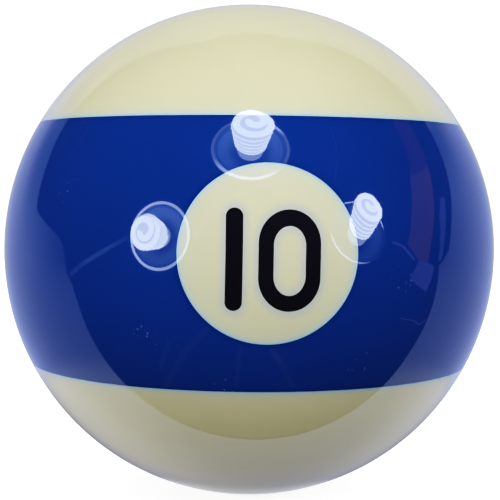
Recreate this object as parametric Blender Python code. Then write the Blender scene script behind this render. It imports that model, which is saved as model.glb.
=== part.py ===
"""A striped pool ball, number ten, as the separate resin castings that it is bonded from.

Metres, +Z up through the two ivory caps, origin at the ball's centre. The front number faces -Y.
"""

from math import asin, ceil, cos, pi, radians, sin

import bmesh
import bpy

MM = 0.001

# The ball and its stripe
BALL_RADIUS = 57.15 / 2 * MM
STRIPE_WIDTH = 27.4 * MM  # between the two flat seams
STRIPE_RISE = 0.85 * MM  # the stripe's middle lies this far above the ball's centre
UPPER_SEAM = STRIPE_RISE + STRIPE_WIDTH / 2
LOWER_SEAM = STRIPE_RISE - STRIPE_WIDTH / 2
BAND_BORE_RADIUS = 20.0 * MM  # inner radius of the blue ring

# The two number discs, set into the ring on opposite sides
DISC_RADIUS = 8.87 * MM
DISC_RISE = 1.05 * MM  # height of a disc's middle on the ball's surface
DISC_FLOOR = 22.5 * MM  # distance of a disc's flat back from the ball's centre

# The digits, set into a disc. Places are measured from the disc's middle: x to the right, y up.
DIGIT_FLOOR = 25.0 * MM  # distance of a digit's flat back from the ball's centre
DIGIT_LEAN = radians(0.5)  # the upright strokes lean this far to the right
ONE_WIDTH = 1.67 * MM
ONE_HEIGHT = 10.0 * MM
ONE_PLACE = (-3.345 * MM, -0.55 * MM)
ZERO_WIDTH = 6.09 * MM
ZERO_HEIGHT = 9.92 * MM
ZERO_CURVE = 3.3 * MM  # height of the zero's half-round ends
ZERO_PLACE = (2.04 * MM, -0.65 * MM)
EYE_WIDTH = 3.14 * MM  # the opening inside the zero
EYE_HEIGHT = 6.76 * MM
EYE_CURVE = 1.9 * MM
EYE_DROP = 0.03 * MM  # the opening sits this much below the zero's middle

# The bond line left between castings, and how finely round shapes are divided
BOND_GAP = 0.3 * MM
HALF_GAP = BOND_GAP / 2
TURN_STEPS = 64  # facets around the ball
DISC_STEPS = 48  # facets around a disc
ARC_STEP = radians(5)  # most that one facet turns along the ball's outline
DOME_RINGS = 4  # rings of facets on a disc's domed face
END_STEPS = 12  # facets round the half-round end of a stroke
OVERSHOOT = 3 * MM  # how far a cutter stands out past the surface that it cuts
SAME_POINT = 1e-6  # points closer than this are one
SHARP_EDGE = radians(30)  # an edge that turns more than this is a real corner

IVORY = (0.70, 0.68, 0.47)
DISC_IVORY = (0.67, 0.67, 0.46)
BLUE = (0.004, 0.022, 0.27)
BLACK = (0.006, 0.005, 0.008)
POLISHED = 0.05  # roughness of buffed resin


def clear_scene():
    for obj in list(bpy.data.objects):
        bpy.data.objects.remove(obj, do_unlink=True)


def resin(piece, colour):
    """Give a piece its own polished resin."""
    material = bpy.data.materials.new(piece.name + "_resin")
    material.use_nodes = True
    shader = material.node_tree.nodes["Principled BSDF"]
    shader.inputs["Base Color"].default_value = (*colour, 1)
    shader.inputs["Roughness"].default_value = POLISHED
    shader.inputs["Metallic"].default_value = 0
    piece.data.materials.append(material)


def new_object(name, mesh, parent=None):
    obj = bpy.data.objects.new(name, mesh)
    obj.parent = parent
    bpy.context.scene.collection.objects.link(obj)
    return obj


def as_cutter(obj):
    obj.hide_render = True
    obj.display_type = "WIRE"
    return obj


def boolean(piece, operation, cutter):
    modifier = piece.modifiers.new(cutter.name, "BOOLEAN")
    modifier.operation = operation
    modifier.object = cutter
    modifier.solver = "EXACT"


def finished_mesh(name, shape):
    """Close a bmesh into a smooth-shaded mesh with its faces pointing out."""
    bmesh.ops.remove_doubles(shape, verts=shape.verts, dist=SAME_POINT)
    bmesh.ops.recalc_face_normals(shape, faces=shape.faces)
    mesh = bpy.data.meshes.new(name)
    shape.to_mesh(mesh)
    shape.free()
    mesh.shade_smooth()
    mesh.set_sharp_from_angle(angle=SHARP_EDGE)
    return mesh


def ball_arc(low, high):
    """Points (radius, height) along the ball's outline, from height low up to height high."""
    start = asin(low / BALL_RADIUS)
    end = asin(high / BALL_RADIUS)
    steps = ceil((end - start) / ARC_STEP)
    angles = [start + (end - start) * step / steps for step in range(steps + 1)]
    return [(BALL_RADIUS * cos(angle), BALL_RADIUS * sin(angle)) for angle in angles]


def turned(name, outline, steps, closed=False):
    """Turn an outline of (radius, height) points about the local Z axis."""
    shape = bmesh.new()
    points = [shape.verts.new((radius, 0, height)) for radius, height in outline]
    edges = [shape.edges.new(pair) for pair in zip(points, points[1:])]
    if closed:
        edges.append(shape.edges.new((points[-1], points[0])))
    bmesh.ops.spin(shape, geom=points + edges, axis=(0, 0, 1), angle=2 * pi, steps=steps)
    return finished_mesh(name, shape)


def bar_outline(width, height, curve, grow=0.0):
    """An upright bar with half-round ends, each end `curve` high, grown outwards all round."""
    half = width / 2 + grow
    rise = curve + grow
    straight = height / 2 - curve
    points = []
    for side in (1, -1):
        for step in range(END_STEPS + 1):
            angle = pi * step / END_STEPS
            points.append((side * half * cos(angle), side * (straight + rise * sin(angle))))
    return points


def placed(outline, place):
    """Lean an outline and move it to its place on the disc."""
    lean_x, lean_y = sin(DIGIT_LEAN), cos(DIGIT_LEAN)
    return [
        (place[0] + x * lean_y + y * lean_x, place[1] + y * lean_y - x * lean_x) for x, y in outline
    ]


def stroke(name, outline, eye, floor):
    """A stroke cast to full depth: its outline, less its eye, from the floor to past the surface."""
    shape = bmesh.new()
    top = BALL_RADIUS + OVERSHOOT
    loop = [shape.verts.new((x, y, floor)) for x, y in outline]
    count = len(loop)
    if eye:
        inner = [shape.verts.new((x, y, floor)) for x, y in eye]
        for i in range(count):
            j = (i + 1) % count
            shape.faces.new((loop[i], loop[j], inner[j], inner[i]))
    else:
        shape.faces.new(loop)
    raised = bmesh.ops.extrude_face_region(shape, geom=shape.faces[:], use_keep_orig=True)
    risen = [item for item in raised["geom"] if isinstance(item, bmesh.types.BMVert)]
    bmesh.ops.translate(shape, verts=risen, vec=(0, 0, top - floor))
    return finished_mesh(name, shape)


def one_mesh(name, floor, grow):
    outline = bar_outline(ONE_WIDTH, ONE_HEIGHT, ONE_WIDTH / 2, grow)
    return stroke(name, placed(outline, ONE_PLACE), None, floor)


def zero_mesh(name, floor, grow):
    outline = bar_outline(ZERO_WIDTH, ZERO_HEIGHT, ZERO_CURVE, grow)
    eye = bar_outline(EYE_WIDTH, EYE_HEIGHT, EYE_CURVE, -grow)
    eye_place = (ZERO_PLACE[0], ZERO_PLACE[1] - EYE_DROP)
    return stroke(name, placed(outline, ZERO_PLACE), placed(eye, eye_place), floor)


def disc_blank_mesh():
    """A disc before its digits are let in: a plug with a flat back and the ball's own curve in front."""
    radius = DISC_RADIUS - HALF_GAP
    rim = asin(radius / BALL_RADIUS)
    dome = [rim * ring / DOME_RINGS for ring in range(DOME_RINGS + 1)]
    outline = [(BALL_RADIUS * sin(angle), BALL_RADIUS * cos(angle)) for angle in dome]
    back = DISC_FLOOR + HALF_GAP
    return turned("disc_blank", outline + [(radius, back), (0, back)], DISC_STEPS)


def pocket_mesh():
    """The pocket that a disc sits in, as a plain cylinder that runs out past the surface."""
    radius = DISC_RADIUS + HALF_GAP
    floor = DISC_FLOOR - HALF_GAP
    top = BALL_RADIUS + OVERSHOOT
    outline = [(0, top), (radius, top), (radius, floor), (0, floor)]
    return turned("disc_pocket", outline, DISC_STEPS)


def make_ivory_body():
    """Both ivory caps and the core between them, one casting poured through the blue ring."""
    lower_cap = ball_arc(-BALL_RADIUS, LOWER_SEAM - HALF_GAP)
    upper_cap = ball_arc(UPPER_SEAM + HALF_GAP, BALL_RADIUS)
    core = BAND_BORE_RADIUS - BOND_GAP
    waist = [(core, LOWER_SEAM - HALF_GAP), (core, UPPER_SEAM + HALF_GAP)]
    body = new_object("ivory_body", turned("ivory_body", lower_cap + waist + upper_cap, TURN_STEPS))
    resin(body, IVORY)


def make_stripe_band():
    """The blue ring, before its pockets are cut. Its outline has a point on the ball's widest circle."""
    low, high = LOWER_SEAM + HALF_GAP, UPPER_SEAM - HALF_GAP
    outside = ball_arc(low, 0) + ball_arc(0, high)[1:]
    bore = [(BAND_BORE_RADIUS, high), (BAND_BORE_RADIUS, low)]
    band = new_object("stripe_band", turned("stripe_band", outside + bore, TURN_STEPS, closed=True))
    resin(band, BLUE)
    return band


def make_number(side, heading, band, meshes):
    """One number on the given side of the band: its disc, the disc's pocket, and the two digits."""
    axis = new_object(side + "_number_axis", None)
    rise = asin(DISC_RISE / BALL_RADIUS)
    axis.rotation_euler = (pi / 2 - rise, 0, heading)

    pocket = as_cutter(new_object(side + "_pocket_cutter", meshes["pocket"], axis))
    boolean(band, "DIFFERENCE", pocket)
    blank = as_cutter(new_object(side + "_blank_cutter", meshes["blank"], axis))
    disc = new_object(side + "_number_disc", meshes["blank"].copy(), axis)
    resin(disc, DISC_IVORY)

    for digit in ("one", "zero"):
        socket = meshes[digit + "_socket"]
        cutter = as_cutter(new_object(f"{side}_{digit}_cutter", socket, axis))
        boolean(disc, "DIFFERENCE", cutter)
        inlay = new_object(f"{side}_digit_{digit}", meshes[digit].copy(), axis)
        boolean(inlay, "INTERSECT", blank)
        resin(inlay, BLACK)


def main():
    clear_scene()
    make_ivory_body()
    band = make_stripe_band()
    meshes = {
        "pocket": pocket_mesh(),
        "blank": disc_blank_mesh(),
        "one": one_mesh("one", DIGIT_FLOOR + HALF_GAP, -HALF_GAP),
        "zero": zero_mesh("zero", DIGIT_FLOOR + HALF_GAP, -HALF_GAP),
        "one_socket": one_mesh("one_socket", DIGIT_FLOOR - HALF_GAP, HALF_GAP),
        "zero_socket": zero_mesh("zero_socket", DIGIT_FLOOR - HALF_GAP, HALF_GAP),
    }
    for side, heading in (("front", 0), ("rear", pi)):
        make_number(side, heading, band, meshes)


main()
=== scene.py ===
"""Looks of the striped pool ball, number ten: polished resin castings, a pale studio and the camera.

Metres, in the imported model's frame: +Z up through the ivory caps, origin at the ball's centre,
front number facing -Y. Every casting is rebuilt finer than its CAD solid and flush with its neighbours.
"""

from math import asin, ceil, cos, pi, radians, sin, tan

import bmesh
import bpy
from mathutils import Matrix, Vector


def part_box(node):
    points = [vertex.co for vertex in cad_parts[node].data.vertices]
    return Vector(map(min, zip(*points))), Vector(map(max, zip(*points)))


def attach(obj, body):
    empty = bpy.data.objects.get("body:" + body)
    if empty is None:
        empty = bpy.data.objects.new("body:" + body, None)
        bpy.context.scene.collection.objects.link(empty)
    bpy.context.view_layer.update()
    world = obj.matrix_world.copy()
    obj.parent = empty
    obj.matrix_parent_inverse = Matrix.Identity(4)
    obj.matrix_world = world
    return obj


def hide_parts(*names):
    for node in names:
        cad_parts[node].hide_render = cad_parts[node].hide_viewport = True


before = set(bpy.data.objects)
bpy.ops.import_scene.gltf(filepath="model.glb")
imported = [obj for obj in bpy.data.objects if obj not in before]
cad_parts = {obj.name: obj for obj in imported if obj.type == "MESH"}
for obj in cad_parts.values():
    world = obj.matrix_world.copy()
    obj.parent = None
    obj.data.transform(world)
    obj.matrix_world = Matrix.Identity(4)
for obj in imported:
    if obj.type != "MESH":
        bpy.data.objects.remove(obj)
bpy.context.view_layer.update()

MM = 0.001

# ---------------------------------------------------------------- sizes, from the frame
BOND_GAP = 0.3 * MM  # the CAD solids stop this far apart, and the real castings touch
HALF_GAP = BOND_GAP / 2
BAND_LOW, BAND_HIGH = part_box("stripe_band")
DISC_LOW, DISC_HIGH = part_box("front_number_disc")
BALL_RADIUS = (BAND_HIGH.x - BAND_LOW.x) / 2
UPPER_SEAM = BAND_HIGH.z + HALF_GAP
LOWER_SEAM = BAND_LOW.z - HALF_GAP
DISC_PLUG_RADIUS = (DISC_HIGH.x - DISC_LOW.x) / 2
DISC_RADIUS = DISC_PLUG_RADIUS + HALF_GAP
DISC_TILT = asin(DISC_HIGH.z / BALL_RADIUS) - asin(DISC_PLUG_RADIUS / BALL_RADIUS)

# ---------------------------------------------------------------- sizes, as in the design
BAND_BORE_RADIUS = 20.0 * MM
DISC_FLOOR = 22.5 * MM
DIGIT_FLOOR = 25.0 * MM
DIGIT_LEAN = radians(0.5)
ONE_WIDTH = 1.67 * MM
ONE_HEIGHT = 10.0 * MM
ONE_PLACE = (-3.345 * MM, -0.55 * MM)
ZERO_WIDTH = 6.09 * MM
ZERO_HEIGHT = 9.92 * MM
ZERO_CURVE = 3.3 * MM
ZERO_PLACE = (2.04 * MM, -0.65 * MM)
EYE_WIDTH = 3.14 * MM
EYE_HEIGHT = 6.76 * MM
EYE_CURVE = 1.9 * MM
EYE_DROP = 0.03 * MM

# ---------------------------------------------------------------- fineness
TURN_STEPS = 256  # facets around the ball
DISC_STEPS = 192  # facets around a disc
DOME_RINGS = 24  # rings of facets on a disc's domed face
ARC_STEP = radians(1.25)
END_STEPS = 48  # facets round the half-round end of a stroke
OVERSHOOT = 3 * MM
SAME_POINT = 1e-7
SHARP_EDGE = radians(30)
SKIN = 0.02 * MM  # a point this near the ball's surface belongs to it

# ---------------------------------------------------------------- colours and finish
IVORY = (0.775, 0.745, 0.462)
DISC_IVORY = (0.735, 0.735, 0.50)
SEAM_TINT = (0.33, 0.62, 0.86)  # ivory right beside blue, with blue showing through it
SEAM_HINT = (0.50, 0.68, 0.80)  # the same, fainter and wider
DIGIT_TINT = (0.57, 0.61, 0.59)  # ivory right beside a black digit
BLUE = (0.003, 0.039, 0.262)
BLUE_EDGE = (0.0005, 0.024, 0.19)  # blue right beside ivory
BLACK = (0.0085, 0.0068, 0.016)
IVORY_CLOUDS = 0.03  # how much darker the clouds in each poured resin are
BLUE_CLOUDS = 0.06
BLACK_CLOUDS = 0.25
CLOUDS_PER_MM = 0.09
RESIN_IOR = 1.58
POLISH = 0.028  # roughness where the polish is best
HAZE = 0.01  # roughness added where it is worst
WAVES_PER_MM = 0.35  # the faint unevenness that grinding leaves
WAVE_STRENGTH = 0.02
WAVE_DEPTH = 0.05 * MM
SEAM_REACH = 0.22 * MM  # how far blue shows through the ivory at a seam
HINT_REACH = 1.2 * MM  # how far the fainter tint goes
HINT_SHARE = 0.18  # and how strong it is at the seam
DIGIT_REACH = 0.55 * MM  # how far a black digit shades the ivory round it

# Marks of use. Places are millimetres from the ball's middle.
DUST = (0.75, 0.81, 0.92)
DUST_PATCHES = [
    (-20, -19, 7), (-11.8, -25.1, -7.2), (9.5, -25, -10), (-3.6, -25.5, -12.6), (13.7, -25, -1.7),
]
DUST_REACH = 1.8 * MM  # a patch's radius
# Specks: cells to the millimetre, a speck's size in cells, and the share of cells that have one
STRAY_SPECKS = (0.35, 0.035, 0.10)
SETTLED_SPECKS = (2.2, 0.3, 0.4)
STRAY_STRENGTH = 0.05
SETTLED_STRENGTH = 0.16
MARK_ROUGHNESS = 0.8
# Hairlines: how strongly each shows, how far it fades to each side, and the points it runs through
HAIRLINES = [
    (0.07, 0.09 * MM, [
        (13.7, -24.5, -5.6), (15.2, -23.5, -5.9), (15.9, -22.8, -6.4), (16.6, -22.5, -5.9),
    ]),
    (0.010, 0.14 * MM, [
        (-21.2, -15.9, 10.7), (-20.6, -15.8, 12), (-19.5, -16, 13.5), (-18.3, -16.7, 14.2),
    ]),
    (0.010, 0.14 * MM, [
        (-20, -17.6, 10.4), (-19.1, -17.9, 11.4), (-18.2, -17.9, 12.9), (-18, -17.3, 13.9),
    ]),
    (0.012, 0.12 * MM, [
        (-20.9, -18.4, 6.2), (-21.1, -17.9, 7.1), (-20.4, -18.5, 7.8), (-19.1, -19.6, 8.1),
    ]),
    (0.012, 0.12 * MM, [(6.4, -24.4, 13.4), (7, -25.6, 10.7), (6.5, -26.6, 8)]),
    (0.008, 0.6 * MM, [(-5.8, -27.3, -6.3), (-8, -26, -8.8), (-9.9, -23.7, -12.5)]),
    (0.009, 0.4 * MM, [(-9.6, -25.7, -7.9), (-10.3, -24.5, -10.5)]),
    (0.009, 0.4 * MM, [(-2.6, -27.3, -8.1), (-2.9, -25.7, -12.2)]),
    (0.015, 0.5 * MM, [(0.6, -27.3, -8.5), (1.4, -26.8, -9.7)]),
    (0.009, 0.5 * MM, [(1.4, -26.8, -9.7), (2.7, -25.7, -12.2)]),
]

# ---------------------------------------------------------------- camera
CAMERA_DISTANCE = 150.0 * MM
CAMERA_PLACE = (-3.83, 2.95)  # azimuth and elevation seen from the ball's middle, in degrees
CAMERA_ROLL = radians(0.56)
CAMERA_SHIFT = (0.0017, -0.0012)  # in widths of the sensor
SENSOR = 36.0  # millimetres, as is the lens
LENS = 90.95


# ================================================================ shapes
def new_object(name, mesh):
    obj = bpy.data.objects.new(name, mesh)
    bpy.context.scene.collection.objects.link(obj)
    return obj


def closed_mesh(name, shape):
    """Close a bmesh into a mesh with its faces pointing out."""
    bmesh.ops.remove_doubles(shape, verts=shape.verts, dist=SAME_POINT)
    bmesh.ops.recalc_face_normals(shape, faces=shape.faces)
    mesh = bpy.data.meshes.new(name)
    shape.to_mesh(mesh)
    shape.free()
    return mesh


def ball_arc(low, high):
    """Points (radius, height) along the ball's outline, from height low up to height high."""
    start = asin(low / BALL_RADIUS)
    end = asin(high / BALL_RADIUS)
    steps = ceil((end - start) / ARC_STEP)
    angles = [start + (end - start) * step / steps for step in range(steps + 1)]
    return [(BALL_RADIUS * cos(angle), BALL_RADIUS * sin(angle)) for angle in angles]


def turned(name, outline, steps, closed=False):
    """Turn an outline of (radius, height) points about the Z axis."""
    shape = bmesh.new()
    points = [shape.verts.new((radius, 0, height)) for radius, height in outline]
    edges = [shape.edges.new(pair) for pair in zip(points, points[1:])]
    if closed:
        edges.append(shape.edges.new((points[-1], points[0])))
    bmesh.ops.spin(shape, geom=points + edges, axis=(0, 0, 1), angle=2 * pi, steps=steps)
    return closed_mesh(name, shape)


def bar_outline(width, height, curve):
    """An upright bar with half-round ends, each end `curve` high."""
    straight = height / 2 - curve
    points = []
    for side in (1, -1):
        for step in range(END_STEPS + 1):
            angle = pi * step / END_STEPS
            points.append((side * width / 2 * cos(angle), side * (straight + curve * sin(angle))))
    return points


def placed(outline, place):
    """Lean an outline and move it to its place on the disc."""
    lean_x, lean_y = sin(DIGIT_LEAN), cos(DIGIT_LEAN)
    return [
        (place[0] + x * lean_y + y * lean_x, place[1] + y * lean_y - x * lean_x) for x, y in outline
    ]


def stroke(name, outline, eye=None):
    """A stroke cast to full depth: its outline, less its eye, from its floor to past the surface."""
    shape = bmesh.new()
    loop = [shape.verts.new((x, y, DIGIT_FLOOR)) for x, y in outline]
    count = len(loop)
    if eye:
        inner = [shape.verts.new((x, y, DIGIT_FLOOR)) for x, y in eye]
        for i in range(count):
            j = (i + 1) % count
            shape.faces.new((loop[i], loop[j], inner[j], inner[i]))
    else:
        shape.faces.new(loop)
    raised = bmesh.ops.extrude_face_region(shape, geom=shape.faces[:], use_keep_orig=True)
    risen = [item for item in raised["geom"] if isinstance(item, bmesh.types.BMVert)]
    bmesh.ops.translate(shape, verts=risen, vec=(0, 0, BALL_RADIUS + OVERSHOOT - DIGIT_FLOOR))
    return closed_mesh(name, shape)


def one_mesh():
    return stroke("one", placed(bar_outline(ONE_WIDTH, ONE_HEIGHT, ONE_WIDTH / 2), ONE_PLACE))


def zero_mesh():
    outline = bar_outline(ZERO_WIDTH, ZERO_HEIGHT, ZERO_CURVE)
    eye = bar_outline(EYE_WIDTH, EYE_HEIGHT, EYE_CURVE)
    eye_place = (ZERO_PLACE[0], ZERO_PLACE[1] - EYE_DROP)
    return stroke("zero", placed(outline, ZERO_PLACE), placed(eye, eye_place))


def disc_blank_mesh():
    """A disc before its digits are let in: a plug with a flat back and the ball's curve in front."""
    rim = asin(DISC_RADIUS / BALL_RADIUS)
    dome = [rim * ring / DOME_RINGS for ring in range(DOME_RINGS + 1)]
    outline = [(BALL_RADIUS * sin(angle), BALL_RADIUS * cos(angle)) for angle in dome]
    return turned("disc_blank", outline + [(DISC_RADIUS, DISC_FLOOR), (0, DISC_FLOOR)], DISC_STEPS)


def pocket_mesh():
    """The pocket that a disc sits in, as a plain cylinder that runs out past the surface."""
    top = BALL_RADIUS + OVERSHOOT
    outline = [(0, top), (DISC_RADIUS, top), (DISC_RADIUS, DISC_FLOOR), (0, DISC_FLOOR)]
    return turned("disc_pocket", outline, DISC_STEPS)


def on_axis(mesh, heading):
    """A copy of a mesh made about Z, turned onto a number's axis."""
    copy = mesh.copy()
    copy.transform(Matrix.Rotation(heading, 4, "Z") @ Matrix.Rotation(pi / 2 - DISC_TILT, 4, "X"))
    return copy


def combined(name, base, operation, *cutters):
    """The mesh left when a base mesh is cut by, or kept within, the cutter meshes."""
    piece = new_object(name, base)
    tools = [new_object(name + "_cutter", cutter) for cutter in cutters]
    for tool in tools:
        modifier = piece.modifiers.new(tool.name, "BOOLEAN")
        modifier.operation = operation
        modifier.object = tool
        modifier.solver = "EXACT"
    depsgraph = bpy.context.evaluated_depsgraph_get()
    mesh = bpy.data.meshes.new_from_object(piece.evaluated_get(depsgraph))
    for obj in [piece] + tools:
        bpy.data.objects.remove(obj)
    return mesh


def polished(mesh):
    """Bring a casting's outer face onto the true ball and give it the ball's own normals."""
    for vertex in mesh.vertices:
        if vertex.co.length > BALL_RADIUS - SKIN:
            vertex.co = vertex.co.normalized() * BALL_RADIUS
    mesh.shade_smooth()
    mesh.set_sharp_from_angle(angle=SHARP_EDGE)
    normals = []
    for polygon in mesh.polygons:
        corners = [mesh.vertices[index].co for index in polygon.vertices]
        outer = all(corner.length > BALL_RADIUS - SKIN for corner in corners)
        normals += [corner.normalized() if outer else polygon.normal.copy() for corner in corners]
    mesh.normals_split_custom_set(normals)
    return mesh


# ================================================================ material nodes
def is_socket(value):
    return isinstance(value, bpy.types.NodeSocket)


def add(tree, kind, inputs=None, **settings):
    """A node with its settings, and its inputs set to values or linked from other sockets."""
    node = tree.nodes.new("ShaderNode" + kind)
    for key, value in settings.items():
        setattr(node, key, value)
    for key, value in (inputs or {}).items():
        if is_socket(value):
            tree.links.new(value, node.inputs[key])
        elif isinstance(value, tuple) and len(value) == 3 and node.inputs[key].type == "RGBA":
            node.inputs[key].default_value = (*value, 1)
        else:
            node.inputs[key].default_value = value
    return node


def calc(tree, operation, *values, clamp=False):
    """A Math node's result."""
    inputs = dict(enumerate(values))
    return add(tree, "Math", inputs, operation=operation, use_clamp=clamp).outputs[0]


def blend_colour(tree, share, first, second):
    """The first colour at share 0, the second at share 1."""
    node = add(tree, "Mix", data_type="RGBA")
    for name, value in (("Factor_Float", share), ("A_Color", first), ("B_Color", second)):
        socket = next(item for item in node.inputs if item.identifier == name)
        if is_socket(value):
            tree.links.new(value, socket)
        elif isinstance(value, tuple):
            socket.default_value = (*value, 1)
        else:
            socket.default_value = value
    return next(item for item in node.outputs if item.identifier == "Result_Color")


def noise(tree, place, per_mm, detail=2.0, roughness=0.5):
    """Smooth noise around 0.5, with about `per_mm` lumps to the millimetre."""
    inputs = {"Vector": place, "Scale": per_mm / MM, "Detail": detail, "Roughness": roughness}
    return add(tree, "TexNoise", inputs).outputs["Fac"]


def stretch(tree, value, low, high):
    """0 below low, 1 above high, smooth between."""
    inputs = {"Value": value, "From Min": low, "From Max": high}
    return add(tree, "MapRange", inputs, interpolation_type="SMOOTHSTEP").outputs["Result"]


def fade(tree, distance, reach):
    """1 at no distance, falling off by e for each reach."""
    return calc(tree, "EXPONENT", calc(tree, "DIVIDE", distance, -reach))


def ball_place(tree):
    """Position in a piece's own frame, in metres: the whole vector, and its parts."""
    place = add(tree, "TexCoord").outputs["Object"]
    parts = add(tree, "SeparateXYZ", {"Vector": place}).outputs
    return place, parts


def disc_place(tree, parts):
    """Position across the nearer number disc: to the right, and up, from the disc's middle."""
    side = calc(tree, "MULTIPLY", calc(tree, "SIGN", parts["Y"]), -1)
    right = calc(tree, "MULTIPLY", parts["X"], side)
    depth = calc(tree, "ABSOLUTE", parts["Y"])
    raised = calc(tree, "MULTIPLY", parts["Z"], cos(DISC_TILT))
    up = calc(tree, "SUBTRACT", raised, calc(tree, "MULTIPLY", depth, sin(DISC_TILT)))
    return right, up


def length_of(tree, x, y):
    return calc(tree, "SQRT", calc(tree, "MULTIPLY_ADD", x, x, calc(tree, "MULTIPLY", y, y)))


def from_bar(tree, place, middle, width, height, curve):
    """Distance outwards from the outline of an upright bar with half-round ends; inside is below 0."""
    x = calc(tree, "SUBTRACT", place[0], middle[0])
    y = calc(tree, "SUBTRACT", place[1], middle[1])
    x = calc(tree, "MULTIPLY_ADD", y, -tan(DIGIT_LEAN), x)
    beyond = calc(tree, "SUBTRACT", calc(tree, "ABSOLUTE", y), height / 2 - curve)
    end = calc(tree, "MULTIPLY", calc(tree, "MAXIMUM", beyond, 0), width / 2 / curve)
    return calc(tree, "SUBTRACT", length_of(tree, x, end), width / 2)


def from_digits(tree, place):
    """Distance from the nearer digit, on the ivory round it or in the zero's eye."""
    one = from_bar(tree, place, ONE_PLACE, ONE_WIDTH, ONE_HEIGHT, ONE_WIDTH / 2)
    zero = from_bar(tree, place, ZERO_PLACE, ZERO_WIDTH, ZERO_HEIGHT, ZERO_CURVE)
    eye_place = (ZERO_PLACE[0], ZERO_PLACE[1] - EYE_DROP)
    eye = from_bar(tree, place, eye_place, EYE_WIDTH, EYE_HEIGHT, EYE_CURVE)
    in_eye = calc(tree, "MULTIPLY", eye, -1)
    outside = calc(tree, "MAXIMUM", zero, in_eye)
    return calc(tree, "MAXIMUM", calc(tree, "MINIMUM", one, outside), 0)


def cloudy(tree, place, colour, share):
    """A cast colour with the faint clouding of poured resin."""
    clouds = noise(tree, place, CLOUDS_PER_MM, detail=3)
    darker = tuple(part * (1 - share) for part in colour)
    return blend_colour(tree, stretch(tree, clouds, 0.35, 0.65), darker, colour)


def seam_distance(tree, height):
    """Distance up or down from the nearer of the two flat seams."""
    to_upper = calc(tree, "ABSOLUTE", calc(tree, "SUBTRACT", height, UPPER_SEAM))
    to_lower = calc(tree, "ABSOLUTE", calc(tree, "SUBTRACT", height, LOWER_SEAM))
    return calc(tree, "MINIMUM", to_upper, to_lower)


def rim_distance(tree, place):
    """Distance from the disc's rim, inwards or outwards."""
    spread = length_of(tree, *place)
    return calc(tree, "ABSOLUTE", calc(tree, "SUBTRACT", spread, DISC_RADIUS))


def from_point(tree, place, point):
    """Straight distance from a point."""
    return add(tree, "VectorMath", {0: place, 1: tuple(point)}, operation="DISTANCE").outputs["Value"]


def fine_line(tree, place, start, end, width):
    """A hairline along the ball from start to end, 1 in its middle and 0 at width to each side."""
    upright = start.cross(end).normalized()
    across = add(tree, "VectorMath", {0: place, 1: tuple(upright)}, operation="DOT_PRODUCT")
    line = stretch(tree, calc(tree, "ABSOLUTE", across.outputs["Value"]), width, 0)
    half = (end - start).length / 2
    part = stretch(tree, from_point(tree, place, (start + end) / 2), half + width, half)
    return calc(tree, "MULTIPLY", line, part)


def hairlines(tree, place):
    """A stuck hair, and the faint loops and streaks that a cloth has left: how strongly each shows."""
    marks = 0
    for strength, width, path in HAIRLINES:
        points = [Vector(point) * MM for point in path]
        for start, end in zip(points, points[1:]):
            shown = calc(tree, "MULTIPLY", fine_line(tree, place, start, end, width), strength)
            marks = calc(tree, "MAXIMUM", shown, marks)
    return marks


def dusty(tree, place):
    """1 in the few patches where dust has settled, 0 elsewhere."""
    nearest = 1.0
    for point in DUST_PATCHES:
        nearest = calc(tree, "MINIMUM", nearest, from_point(tree, place, Vector(point) * MM))
    return stretch(tree, nearest, DUST_REACH, 0.3 * DUST_REACH)


def specks(tree, place, per_mm, size, share):
    """Scattered pinpoints of dust and pitting: 1 in a speck. `share` of the cells have one."""
    cells = add(tree, "TexVoronoi", {"Vector": place, "Scale": per_mm / MM}, feature="F1").outputs
    dot = stretch(tree, cells["Distance"], size, size * 0.6)
    lot = add(tree, "SeparateXYZ", {"Vector": cells["Color"]}).outputs["X"]
    return calc(tree, "MULTIPLY", dot, calc(tree, "LESS_THAN", lot, share))


def resin(name, colour_of):
    """Polished cast resin. colour_of(tree, place, parts) gives the colour socket."""
    material = bpy.data.materials.new(name)
    material.use_nodes = True
    tree = material.node_tree
    shader = tree.nodes["Principled BSDF"]
    place, parts = ball_place(tree)
    colour = colour_of(tree, place, parts)

    stray = calc(tree, "MULTIPLY", specks(tree, place, *STRAY_SPECKS), STRAY_STRENGTH)
    settled = calc(tree, "MULTIPLY", specks(tree, place, *SETTLED_SPECKS), dusty(tree, place))
    dust = calc(tree, "MULTIPLY_ADD", settled, SETTLED_STRENGTH, stray)
    mark = calc(tree, "ADD", dust, hairlines(tree, place))
    marked = blend_colour(tree, mark, colour, DUST)
    tree.links.new(marked, shader.inputs["Base Color"])

    haze = stretch(tree, noise(tree, place, 0.15, detail=4), 0.35, 0.75)
    buffed = calc(tree, "MULTIPLY_ADD", haze, HAZE, POLISH)
    rough = calc(tree, "MULTIPLY_ADD", mark, MARK_ROUGHNESS, buffed)
    tree.links.new(rough, shader.inputs["Roughness"])
    shader.inputs["IOR"].default_value = RESIN_IOR

    wave = noise(tree, place, WAVES_PER_MM, detail=1)
    bump = add(tree, "Bump", {"Height": wave, "Strength": WAVE_STRENGTH, "Distance": WAVE_DEPTH})
    tree.links.new(bump.outputs["Normal"], shader.inputs["Normal"])
    return material


def beside_blue(tree, base, distance):
    """Ivory this far from a seam with the blue."""
    hint = calc(tree, "MULTIPLY", fade(tree, distance, HINT_REACH), HINT_SHARE)
    hinted = blend_colour(tree, hint, base, SEAM_HINT)
    return blend_colour(tree, fade(tree, distance, SEAM_REACH), hinted, SEAM_TINT)


def ivory_colour(tree, place, parts):
    base = cloudy(tree, place, IVORY, IVORY_CLOUDS)
    return beside_blue(tree, base, seam_distance(tree, parts["Z"]))


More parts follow.
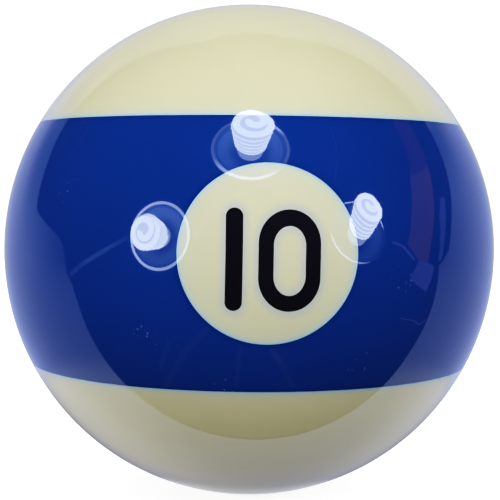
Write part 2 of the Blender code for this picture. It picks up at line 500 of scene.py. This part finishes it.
def blue_colour(tree, place, parts):
    base = cloudy(tree, place, BLUE, BLUE_CLOUDS)
    to_disc = rim_distance(tree, disc_place(tree, parts))
    to_edge = calc(tree, "MINIMUM", seam_distance(tree, parts["Z"]), to_disc)
    return blend_colour(tree, fade(tree, to_edge, SEAM_REACH), base, BLUE_EDGE)


def disc_colour(tree, place, parts):
    across = disc_place(tree, parts)
    base = cloudy(tree, place, DISC_IVORY, IVORY_CLOUDS)
    squared = calc(tree, "POWER", calc(tree, "DIVIDE", from_digits(tree, across), DIGIT_REACH), 2)
    near_black = calc(tree, "EXPONENT", calc(tree, "MULTIPLY", squared, -1))
    shaded = blend_colour(tree, near_black, base, DIGIT_TINT)
    return beside_blue(tree, shaded, rim_distance(tree, across))


def black_colour(tree, place, parts):
    return cloudy(tree, place, BLACK, BLACK_CLOUDS)


# ================================================================ castings
def casting(node, mesh, material):
    """The finished piece that stands for a CAD node."""
    piece = new_object("polished_" + node, polished(mesh))
    piece.data.materials.clear()
    piece.data.materials.append(material)
    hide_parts(node)
    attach(piece, "root")


def make_ivory_body(material):
    """Both ivory caps and the core between them."""
    lower_cap = ball_arc(-BALL_RADIUS, LOWER_SEAM)
    upper_cap = ball_arc(UPPER_SEAM, BALL_RADIUS)
    waist = [(BAND_BORE_RADIUS, LOWER_SEAM), (BAND_BORE_RADIUS, UPPER_SEAM)]
    mesh = turned("ivory_body", lower_cap + waist + upper_cap, TURN_STEPS)
    casting("ivory_body", mesh, material)


def make_stripe_band(material, pockets):
    outside = ball_arc(LOWER_SEAM, 0) + ball_arc(0, UPPER_SEAM)[1:]
    bore = [(BAND_BORE_RADIUS, UPPER_SEAM), (BAND_BORE_RADIUS, LOWER_SEAM)]
    ring = turned("stripe_band", outside + bore, TURN_STEPS, closed=True)
    casting("stripe_band", combined("band", ring, "DIFFERENCE", *pockets), material)


def make_number(side, heading, materials):
    """One number: its disc and the two digits let into it."""
    blank = on_axis(disc_blank_mesh(), heading)
    one = on_axis(one_mesh(), heading)
    zero = on_axis(zero_mesh(), heading)
    disc = combined("disc", blank.copy(), "DIFFERENCE", one.copy(), zero.copy())
    casting(side + "_number_disc", disc, materials["disc"])
    for digit, mesh in (("one", one), ("zero", zero)):
        inlay = combined(digit, mesh, "INTERSECT", blank.copy())
        casting(f"{side}_digit_{digit}", inlay, materials["black"])


def make_ball():
    materials = {
        "ivory": resin("ivory_resin", ivory_colour),
        "blue": resin("blue_resin", blue_colour),
        "disc": resin("disc_resin", disc_colour),
        "black": resin("black_resin", black_colour),
    }
    sides = {"front": 0, "rear": pi}
    make_ivory_body(materials["ivory"])
    pockets = [on_axis(pocket_mesh(), heading) for heading in sides.values()]
    make_stripe_band(materials["blue"], pockets)
    for side, heading in sides.items():
        make_number(side, heading, materials)


# ================================================================ studio
# A zone is a pair of distances from the ball's upright axis: where something begins and where it is full
FLOOR_LEVEL = -BALL_RADIUS
FLOOR_REACH = 3.0
FLOOR_WHITE = 0.85
FLOOR_CLEAR = (0.2 * BALL_RADIUS, 1.5 * BALL_RADIUS)  # zone in which the floor's own glow comes up
CONTACT_LIGHT = 0.8  # the floor's glow right under the ball
OPEN_LIGHT = 1.2  # and away from it
BACKGROUND = 1.2  # the white that the camera sees past the ball
ROOM_GLOW = 0.035  # the dim room that the ball reflects instead
# The front edge of the white sheet under the ball, left to right: x and y in millimetres
SHEET_EDGE = [
    (-420, 12), (-240, -6), (-145, -19), (-100, -21.4), (0, -21.6), (45, -22.7), (110, -20.8), (420, -18),
]
SHEET_REACH = 420 * MM
# The two edges of its upswept back, as elevation and azimuth. Both lean inwards.
BACKDROP_LEFT = [
    (-5, -90.5), (0, -92), (3.1, -94.8), (5.8, -105), (8.2, -116), (20, -121.5), (29, -128.5), (65, -150),
]
BACKDROP_RIGHT = [
    (-5, 87), (-3, 90), (0, 94), (7, 97.5), (15, 103), (26, 110.2), (32, 114.5), (65, 150),
]
SHEET_LIGHT = 0.50  # the light that the sheet and its backdrop throw on the ball
SHEET_LIT = (-4 * MM, 58 * MM)  # zone in which the sheet's light comes up
SHADE_DEPTH = 0.75  # the share of it that is missing in the ball's shade
BACKDROP_LIGHT = 0.58
CLOTH_TINT = (1.09, 1.0, 0.89)  # the warmth of that light

# Colours that polished resin picks up from the sheet and its backdrop
FAR_GLOW = (0.36, 0.42, 0.78)
HIGH_GLOW = (0.50, 0.49, 0.49)  # high up the backdrop
HIGH_RISE = (0.28, 0.55)  # where that begins and is full, as height over the sheet's reach
NEAR_GLOW = (0.54, 0.61, 0.88)  # sheet near the ball
NEAR_ZONE = (50 * MM, 36 * MM)
SHADE_GLOW = (0.11, 0.12, 0.20)  # sheet in the ball's shade
FOOT_GLOW = (0.46, 0.50, 0.70)  # sheet under the ball
FOOT_ZONE = (32 * MM, 8 * MM)
CONTACT_GLOW = (0.50, 0.52, 0.58)  # sheet right at the point that the ball rests on
CONTACT_ZONE = (11.5 * MM, 8 * MM)
BACK_GLOW = (0.38, 0.41, 0.54)  # the cloth right behind the ball, which shows in the ball's own edge
BACK_PLACE = (176.2, -3)  # the middle of that, as azimuth and elevation
BACK_REACH = 260 * MM
BACK_FULL = 0.7 * BACK_REACH
SIDE_FADE = 400 * MM  # out to the left side the cloth dims by a factor e in this distance
RIGHT_SHARE = 0.55  # and to the right side this much as strongly
# The backdrop darkens towards its two upright edges: which side, where that begins and is full going
# out to the edge and going up, as shares of the reach, and how far it goes
EDGE_GLOW = (0.05, 0.12, 0.35)
EDGE_FADES = [(-1, (0.68, 0.48), (-0.1, 0.4), 0.66), (1, (0.56, 0.20), (0.2, 0.48), 0.7)]
EDGE_TOP = (0.60, 0.47)  # coming down from the top, it begins and is full here
EDGE_LEAN = 0.54  # the edges lean inwards by this much of their height
SHADE_PLACE = 30 * MM  # the middle of the ball's shade, behind it on the sheet
SHADE_INSIDE = 24 * MM  # it is full this near that middle
SHADE_OUTSIDE = 48 * MM  # and gone this far from it

# Other things in the room, which glow as painted light instead of being lit: their glow colour, then
# their edges at each height.
# Edges: elevation, and azimuth right of the front at the left and right edge, in degrees.
ROOM_REACH = 400 * MM
ROOM_CARDS = {
    "door": ((0.30, 0.12, 0.0), [(-3, 75, 80), (3, 68, 82), (16, 74, 89), (25, 79, 94)]),
    "door_top": ((0.14, 0.05, 0.0), [(25, 79, 94), (35, 87, 100), (42, 91, 105)]),
    "strip": (
        (0.17, 0.20, 0.50),
        [(-3, 86.5, 88.5), (3, 88, 91.2), (10.5, 89.8, 94.8), (15, 93.5, 97)],
    ),
    "card": ((0.23, 0.23, 0.56), [(-12.5, 80, 81), (-9, 70, 83), (-4.5, 73, 84), (-2, 74.5, 75.5)]),
}
# Stand arms, which also glow as painted light: their glow colour, half thickness, then their path as
# azimuth and elevation
ROOM_ARMS = {
    "left_arm": ((0.24, 0.34, 0.70), 6 * MM, [(-62.5, 3.2), (-67.5, 0.7), (-73, -1.8), (-79, -4.1)]),
    "left_arm_near": ((0.13, 0.20, 0.42), 6 * MM, [(-57, 5.7), (-62.5, 3.2)]),
    "left_arm_far": ((0.14, 0.20, 0.42), 6 * MM, [(-79, -4.1), (-88, -8.3)]),
    "right_arm": (
        (0.30, 0.30, 0.60), 3 * MM,
        [(60, 4.4), (64, 3.2), (66.5, 2), (69, -0.2), (72, -2.2)],
    ),
}

# One pattern of lamp: a spiral bulb standing out of a round dish
HIGH_TINT = (0.94, 0.98, 1.01)  # the light of the high lamp
LOW_TINT = (1.0, 0.98, 0.92)  # and of the two low ones
BULB_TINT = (0.86, 1.0, 1.42)
RIM_TINT = (0.84, 1.03, 1.75)
DISH_TINT = (0.60, 0.90, 2.1)
DISH_RADIUS = 74.5 * MM
DISH_DEPTH = 50 * MM
BULB_OUT = 85 * MM  # the bulb's straight turns begin this far in front of its dish's rim
BULB_RADIUS = 30 * MM
BULB_LENGTH = 73 * MM
BULB_TURNS = 5  # below the domed tip
DOME_HEIGHT = 10 * MM
TUBE_RADIUS = 5.0 * MM
TUBE_GLOW = 10.9  # along the tube's straight turns
TIP_GLOW = 10.8  # and at its domed tip
GROOVE_SHARE = 0.25  # the tube is this bright in the grooves between its turns
CORE_GLOW = 7.4  # the lit space inside the tube
CORE_RADIUS = BULB_RADIUS - 1.3 * TUBE_RADIUS
HEEL_GLOW = 2.4  # the plain foot that the tube stands on
HEEL_RADIUS = 0.94 * BULB_RADIUS
HEEL_TAPER = 0.96
HEEL_END = 1.6 * BULB_LENGTH
BOWL_RINGS = 75  # radians of spun rings from the dish's middle to its rim

# Each lamp, seen from the ball's middle: its dish's azimuth right of the front, elevation (degrees)
# and distance; the azimuth and elevation it leans back at; how its bulb is turned; how its dish glows;
# its rim's half thickness, faintest glow and bright places (angle, half width, glow added); and
# the tint and strength of its light on the ball
LAMPS = {
    "top": dict(
        dish_at=(-3.5, 47, 287 * MM), lean=(-5.3, 24.1), twist=15, glow=0.85,
        rim=3.4 * MM, faint=0.9, bright_places=[(-100, 62, 3.5), (55, 32, 3.4)],
        tint=HIGH_TINT, strength=0.305,
    ),
    "left": dict(
        dish_at=(-42.8, 7.4, 320 * MM), lean=(-28.4, 4.2), twist=0, glow=0.9,
        rim=3.4 * MM, faint=3.6, bright_places=[(180, 120, 1.2)],
        tint=LOW_TINT, strength=0.325,
    ),
    "right": dict(
        dish_at=(44, 10, 328 * MM), lean=(27.8, -15.1), twist=0, glow=0.4,
        rim=1.5 * MM, faint=0.2, bright_places=[(-130, 58, 4.2), (98, 24, 5.0), (15, 18, 6.0)],
        tint=LOW_TINT, strength=0.28,
    ),
}

# The film's response to light: a soft toe, and a shoulder up to white at 1
FILM_CONTRAST = 1.4
FILM_SHOULDER = 0.35
FILM_POINTS = (0.02, 0.05, 0.1, 0.2, 0.3, 0.4, 0.55, 0.7, 0.85)


def from_ball(azimuth, elevation, distance):
    """A point seen from the ball's middle: azimuth from the front towards +X, angles in degrees."""
    a, e = radians(azimuth), radians(elevation)
    return distance * Vector((sin(a) * cos(e), -cos(a) * cos(e), sin(e)))


def glowing(name, strength, colour=(1, 1, 1), light=None):
    """A plain glow; strength, colour and light may be functions of the node tree.

    With light given, the glow is only what polish reflects, and that much warm light falls on the ball.
    """
    material = bpy.data.materials.new(name)
    material.use_nodes = True
    tree = material.node_tree
    tree.nodes.remove(tree.nodes["Principled BSDF"])
    value = strength(tree) if callable(strength) else strength
    shade = colour(tree) if callable(colour) else colour
    surface = add(tree, "Emission", {"Color": shade, "Strength": value}).outputs[0]
    if light:
        value = light(tree) if callable(light) else light
        thrown = add(tree, "Emission", {"Color": CLOTH_TINT, "Strength": value}).outputs[0]
        lighting = add(tree, "LightPath").outputs["Is Diffuse Ray"]
        surface = add(tree, "MixShader", {0: lighting, 1: surface, 2: thrown}).outputs[0]
    tree.links.new(surface, tree.nodes["Material Output"].inputs["Surface"])
    return material


def reflected_only(obj, lights_up=False):
    """Part of the studio that the camera doesn't see, but the polished resin reflects."""
    obj.visible_camera = False
    obj.visible_diffuse = lights_up
    obj.visible_shadow = False
    obj.visible_transmission = False
    return obj


def patch(name, rows, material):
    """A surface through rows of points."""
    shape = bmesh.new()
    grid = [[shape.verts.new(point) for point in row] for row in rows]
    for low, high in zip(grid, grid[1:]):
        for i in range(len(low) - 1):
            shape.faces.new((low[i], low[i + 1], high[i + 1], high[i]))
    mesh = bpy.data.meshes.new(name)
    shape.to_mesh(mesh)
    shape.free()
    mesh.materials.append(material)
    return new_object(name, mesh)


def make_floor():
    """The pale floor that the camera sees. It is lit, and also glows, so that it stays near white."""
    material = bpy.data.materials.new("pale_floor")
    material.use_nodes = True
    tree = material.node_tree
    shader = tree.nodes["Principled BSDF"]
    shader.inputs["Base Color"].default_value = (FLOOR_WHITE, FLOOR_WHITE, FLOOR_WHITE, 1)
    shader.inputs["Roughness"].default_value = 0.9
    shader.inputs["Specular IOR Level"].default_value = 0.0
    shader.inputs["Emission Color"].default_value = (1, 1, 1, 1)
    _, parts = ball_place(tree)
    clear = stretch(tree, length_of(tree, parts["X"], parts["Y"]), *FLOOR_CLEAR)
    glow = calc(tree, "MULTIPLY_ADD", clear, OPEN_LIGHT - CONTACT_LIGHT, CONTACT_LIGHT)
    tree.links.new(glow, shader.inputs["Emission Strength"])
    sides = (-FLOOR_REACH, FLOOR_REACH)
    rows = [[(x, y, FLOOR_LEVEL) for x in sides] for y in sides]
    floor = patch("floor", rows, material)
    floor.visible_diffuse = False
    floor.visible_glossy = False


def far_colour(tree, place, parts, out):
    """White cloth as polish reflects it: dimmer far out to the sides, paler right behind the ball."""
    aside = stretch(tree, calc(tree, "DIVIDE", parts["Y"], out), 0.6, -0.1)
    left = stretch(tree, calc(tree, "DIVIDE", parts["X"], out), 0.5, -0.5)
    side = calc(tree, "MULTIPLY_ADD", left, 1 - RIGHT_SHARE, RIGHT_SHARE)
    dimmed = calc(tree, "MULTIPLY", calc(tree, "SUBTRACT", 1, fade(tree, out, SIDE_FADE)), side)
    colour = blend_colour(tree, calc(tree, "MULTIPLY", aside, dimmed), FAR_GLOW, (0, 0, 0))
    to_back = from_point(tree, place, from_ball(*BACK_PLACE, SHEET_REACH))
    return blend_colour(tree, stretch(tree, to_back, BACK_REACH, BACK_FULL), colour, BACK_GLOW)


def sheet_shade(tree, parts):
    """1 well inside the shade that the ball throws on the sheet, 0 outside it."""
    past = calc(tree, "SUBTRACT", parts["Y"], SHADE_PLACE)
    return stretch(tree, length_of(tree, parts["X"], past), SHADE_OUTSIDE, SHADE_INSIDE)


def sheet_colour(tree):
    place, parts = ball_place(tree)
    out = length_of(tree, parts["X"], parts["Y"])
    near = stretch(tree, out, *NEAR_ZONE)
    colour = blend_colour(tree, near, far_colour(tree, place, parts, out), NEAR_GLOW)
    colour = blend_colour(tree, stretch(tree, out, *FOOT_ZONE), colour, FOOT_GLOW)
    colour = blend_colour(tree, sheet_shade(tree, parts), colour, SHADE_GLOW)
    return blend_colour(tree, stretch(tree, out, *CONTACT_ZONE), colour, CONTACT_GLOW)


def sheet_light(tree):
    _, parts = ball_place(tree)
    shade = calc(tree, "MULTIPLY", sheet_shade(tree, parts), SHADE_DEPTH)
    open_sheet = calc(tree, "MULTIPLY", calc(tree, "SUBTRACT", 1, shade), SHEET_LIGHT)
    out = length_of(tree, parts["X"], parts["Y"])
    return calc(tree, "MULTIPLY", stretch(tree, out, *SHEET_LIT), open_sheet)


def make_sheet():
    """The white sheet under and behind the ball, as the ball reflects it."""
    front = [(x * MM, y * MM, FLOOR_LEVEL) for x, y in SHEET_EDGE]
    back = [(x * MM, SHEET_REACH, FLOOR_LEVEL) for x, y in SHEET_EDGE]
    rows = [front, back]
    white = glowing("sheet_glow", 1.0, sheet_colour, sheet_light)
    reflected_only(patch("white_sheet", rows, white), lights_up=True)


def between(value, points):
    """Straight-line reading of a short list of (input, output) points."""
    for (a, low), (b, high) in zip(points, points[1:]):
        if value <= b:
            return low + (high - low) * (value - a) / (b - a)
    return points[-1][1]


def backdrop_colour(tree):
    """The cloth further up: greyer towards its top, darker towards its upright edges."""
    place, parts = ball_place(tree)
    out = length_of(tree, parts["X"], parts["Y"])
    height = calc(tree, "DIVIDE", parts["Z"], SHEET_REACH)
    colour = far_colour(tree, place, parts, out)
    colour = blend_colour(tree, stretch(tree, height, *HIGH_RISE), colour, HIGH_GLOW)

    back = calc(tree, "DIVIDE", parts["Y"], out)
    inward = calc(tree, "SUBTRACT", back, calc(tree, "MULTIPLY", height, EDGE_LEAN))
    across = calc(tree, "DIVIDE", parts["X"], out)
    top = stretch(tree, height, *EDGE_TOP)
    for side, along, up, most in EDGE_FADES:
        faded = calc(tree, "MULTIPLY", stretch(tree, inward, *along), stretch(tree, height, *up))
        this_side = calc(tree, "MULTIPLY", stretch(tree, across, 0.3 * side, 0.55 * side), top)
        share = calc(tree, "MULTIPLY", calc(tree, "MULTIPLY", faded, this_side), most)
        colour = blend_colour(tree, share, colour, EDGE_GLOW)
    return colour


def make_backdrop():
    """The upswept back of the sheet, in a row of points for each degree of elevation."""
    lowest = BACKDROP_LEFT[0][0]
    highest = BACKDROP_LEFT[-1][0]
    rows = []
    for elevation in range(lowest, highest + 1):
        start = between(elevation, BACKDROP_RIGHT)
        end = between(elevation, BACKDROP_LEFT) + 360
        spread = [start + (end - start) * step / 48 for step in range(49)]
        rows.append([from_ball(azimuth, elevation, SHEET_REACH) for azimuth in spread])
    white = glowing("backdrop_glow", 1.0, backdrop_colour, BACKDROP_LIGHT)
    reflected_only(patch("backdrop", rows, white), lights_up=True)


def make_room():
    """The few things that show in the ball beside the white cloth: a door, cards and stand arms. They
    glow as painted light rather than being lit.
    """
    for name, (colour, edges) in ROOM_CARDS.items():
        rows = []
        for low, high in zip(edges, edges[1:]):
            for step in range(5):
                elevation, left, right = [a + (b - a) * step / 4 for a, b in zip(low, high)]
                spread = [left + (right - left) * column / 4 for column in range(5)]
                rows.append([from_ball(azimuth, elevation, ROOM_REACH) for azimuth in spread])
        reflected_only(patch(name, rows, glowing(name, 1.0, colour)))
    for name, (colour, radius, path) in ROOM_ARMS.items():
        points = [from_ball(azimuth, elevation, ROOM_REACH) for azimuth, elevation in path]
        tube_through(name, points, radius, Matrix.Identity(4), glowing(name, 1.0, colour))


def aimed(place, target):
    """A frame at a place with its -Z axis towards a target."""
    turn = (target - place).to_track_quat("-Z", "Y")
    return Matrix.Translation(place) @ turn.to_matrix().to_4x4()


def tube_through(name, points, radius, place, material, closed=False):
    """A round glowing tube through points given in its own frame."""
    curve = bpy.data.curves.new(name, "CURVE")
    curve.dimensions = "3D"
    curve.bevel_depth = radius
    curve.bevel_resolution = 4
    spline = curve.splines.new("POLY")
    spline.points.add(len(points) - 1)
    for point, (x, y, z) in zip(spline.points, points):
        point.co = (x, y, z, 1)
    spline.use_cyclic_u = closed
    curve.materials.append(material)
    obj = new_object(name, curve)
    obj.matrix_world = place
    return reflected_only(obj)


def coil_points():
    """A spiral bulb's tube, from the middle of its domed tip down its straight turns. -Z is its tip."""
    radius = BULB_RADIUS - TUBE_RADIUS
    points = []
    steps = 60
    for step in range(steps + 1):
        share = step / steps
        angle = 2 * pi * 1.5 * (share - 1)
        wide = radius * (0.2 + 0.8 * sin(share * pi / 2))
        points.append((wide * cos(angle), wide * sin(angle), -DOME_HEIGHT * cos(share * pi / 2)))
    steps = 48 * BULB_TURNS
    for step in range(1, steps + 1):
        share = step / steps
        angle = 2 * pi * BULB_TURNS * share
        points.append((radius * cos(angle), radius * sin(angle), BULB_LENGTH * share))
    return points


def tube_glow(tree):
    """Bright all over the domed tip, and dimmer in the grooves between the turns below it."""
    _, parts = ball_place(tree)
    tip = stretch(tree, parts["Z"], 0.1 * DOME_HEIGHT, -DOME_HEIGHT)
    level = calc(tree, "MULTIPLY_ADD", tip, TIP_GLOW - TUBE_GLOW, TUBE_GLOW)
    turned_by = calc(tree, "ARCTAN2", parts["Y"], parts["X"])
    along = calc(tree, "MULTIPLY", parts["Z"], 2 * pi * BULB_TURNS / BULB_LENGTH)
    wave = calc(tree, "COSINE", calc(tree, "SUBTRACT", along, turned_by))
    crest = calc(tree, "MAXIMUM", wave, stretch(tree, parts["Z"], 0, -0.4 * DOME_HEIGHT))
    lit = calc(tree, "MULTIPLY_ADD", crest, (1 - GROOVE_SHARE) / 2, (1 + GROOVE_SHARE) / 2)
    return calc(tree, "MULTIPLY", lit, level)


def make_bulb(name, place):
    """The glowing spiral tube, the lit space inside it, and its dimmer heel."""
    tube = glowing(name + "_tube", tube_glow, BULB_TINT)
    tube_through(name + "_coil", coil_points(), TUBE_RADIUS, place, tube)
    core_tip = [(0, -0.6 * DOME_HEIGHT), (CORE_RADIUS * 0.8, 0)]
    core_outline = core_tip + [(CORE_RADIUS, BULB_LENGTH), (0, BULB_LENGTH)]
    heel_end = (HEEL_RADIUS * HEEL_TAPER, HEEL_END)
    heel_outline = [(0, BULB_LENGTH), (HEEL_RADIUS, BULB_LENGTH), heel_end]
    core = ("_core", core_outline, CORE_GLOW, BULB_TINT)
    heel = ("_heel", heel_outline, HEEL_GLOW, RIM_TINT)
    for part, outline, glow, tint in (core, heel):
        obj = new_object(name + part, turned(name + part, outline, 48))
        obj.data.materials.append(glowing(name + part, glow, tint))
        obj.matrix_world = place
        reflected_only(obj)


def bowl_glow(tree, strength):
    """Faint rings of spun metal, brighter towards the top and between the middle and the rim."""
    _, parts = ball_place(tree)
    out = calc(tree, "DIVIDE", length_of(tree, parts["X"], parts["Y"]), DISH_RADIUS)
    rings = calc(tree, "SINE", calc(tree, "MULTIPLY", out, BOWL_RINGS))
    middle = calc(tree, "MULTIPLY", stretch(tree, out, 0.4, 0.75), stretch(tree, out, 0.97, 0.85))
    level = calc(tree, "MULTIPLY_ADD", middle, 0.65, 0.35)
    upper = stretch(tree, calc(tree, "DIVIDE", parts["Y"], DISH_RADIUS), -1, 1)
    level = calc(tree, "MULTIPLY", level, calc(tree, "MULTIPLY_ADD", upper, 0.6, 0.7))
    return calc(tree, "MULTIPLY", calc(tree, "MULTIPLY_ADD", rings, 0.15, level), strength)


def rim_glow(tree, faint, bright_places):
    """The rim catches light in a few places round it."""
    _, parts = ball_place(tree)
    glow = faint
    for angle, half_width, extra in bright_places:
        across = calc(tree, "MULTIPLY", parts["X"], cos(radians(angle)) / DISH_RADIUS)
        along = calc(tree, "MULTIPLY_ADD", parts["Y"], sin(radians(angle)) / DISH_RADIUS, across)
        near = stretch(tree, along, cos(radians(half_width)), 1)
        glow = calc(tree, "MULTIPLY_ADD", near, extra, glow)
    return glow


def make_dish(name, place, glow, rim, faint, bright_places):
    turn = [2 * pi * step / 96 for step in range(97)]
    rim_points = [(DISH_RADIUS * cos(angle), DISH_RADIUS * sin(angle), 0) for angle in turn[:-1]]
    lit = glowing(name + "_rim", lambda tree: rim_glow(tree, faint, bright_places), RIM_TINT)
    tube_through(name + "_rim", rim_points, rim, place, lit, closed=True)
    rows = []
    for ring in range(13):
        across = DISH_RADIUS * ring / 12
        depth = DISH_DEPTH * (1 - (ring / 12) ** 2)
        rows.append([(across * cos(angle), across * sin(angle), depth) for angle in turn])
    metal = glowing(name + "_dish", lambda tree: bowl_glow(tree, glow), DISH_TINT)
    bowl = patch(name + "_dish", rows, metal)
    bowl.matrix_world = place
    reflected_only(bowl)


def make_lamp(name, dish_at, lean, twist, glow, rim, faint, bright_places, tint, strength):
    """A spiral bulb in a round dish, as the ball reflects it, and the light that it gives."""
    dish = from_ball(*dish_at)
    back = from_ball(*lean, 1)
    bulb = dish - back * BULB_OUT
    make_bulb(name, aimed(bulb, bulb - back) @ Matrix.Rotation(radians(twist), 4, "Z"))
    make_dish(name, aimed(dish, dish - back), glow, rim, faint, bright_places)

    lamp = bpy.data.lights.new(name + "_light", "AREA")
    lamp.shape = "DISK"
    lamp.size = 2 * BULB_RADIUS
    middle = bulb + back * BULB_LENGTH / 3
    lamp.energy = strength * pi**2 * middle.length_squared
    lamp.color = tint
    light = new_object(name + "_light", lamp)
    light.matrix_world = aimed(middle, Vector((0, 0, 0)))
    light.visible_glossy = False


def make_world():
    """White where the camera looks past the ball, a dim room where the ball reflects it."""
    world = bpy.data.worlds.new("studio")
    bpy.context.scene.world = world
    world.use_nodes = True
    tree = world.node_tree
    output = tree.nodes["World Output"]
    room = add(tree, "Background", {"Color": (1, 1, 1), "Strength": ROOM_GLOW})
    white = add(tree, "Background", {"Color": (1, 1, 1), "Strength": BACKGROUND})
    seen = add(tree, "LightPath").outputs["Is Camera Ray"]
    both = add(tree, "MixShader", {0: seen, 1: room.outputs[0], 2: white.outputs[0]})
    tree.links.new(both.outputs[0], output.inputs["Surface"])


def make_studio():
    make_floor()
    make_sheet()
    make_backdrop()
    make_room()
    for name, pattern in LAMPS.items():
        make_lamp(name, **pattern)
    make_world()


def make_camera():
    """Close in front, a little to the ball's left and above its middle, leaning with the photo."""
    data = bpy.data.cameras.new("camera")
    data.sensor_width = SENSOR
    data.lens = LENS
    data.shift_x, data.shift_y = CAMERA_SHIFT
    data.clip_start = 0.01
    camera = new_object("camera", data)
    back = from_ball(*CAMERA_PLACE, 1)
    turn = (-back).to_track_quat("-Z", "Y").to_matrix() @ Matrix.Rotation(CAMERA_ROLL, 3, "Z")
    camera.matrix_world = Matrix.Translation(back * CAMERA_DISTANCE) @ turn.to_4x4()
    bpy.context.scene.camera = camera


def film_response(light):
    raised = light**FILM_CONTRAST
    return (1 + FILM_SHOULDER) * raised / (raised + FILM_SHOULDER)


def make_film():
    """Plain display colours behind a film-like response curve."""
    settings = bpy.context.scene.view_settings
    settings.view_transform = "Standard"
    settings.use_curve_mapping = True
    mapping = settings.curve_mapping
    curve = mapping.curves[3]
    for light in FILM_POINTS:
        curve.points.new(light, film_response(light))
    mapping.update()


make_camera()
make_film()
make_ball()
make_studio()
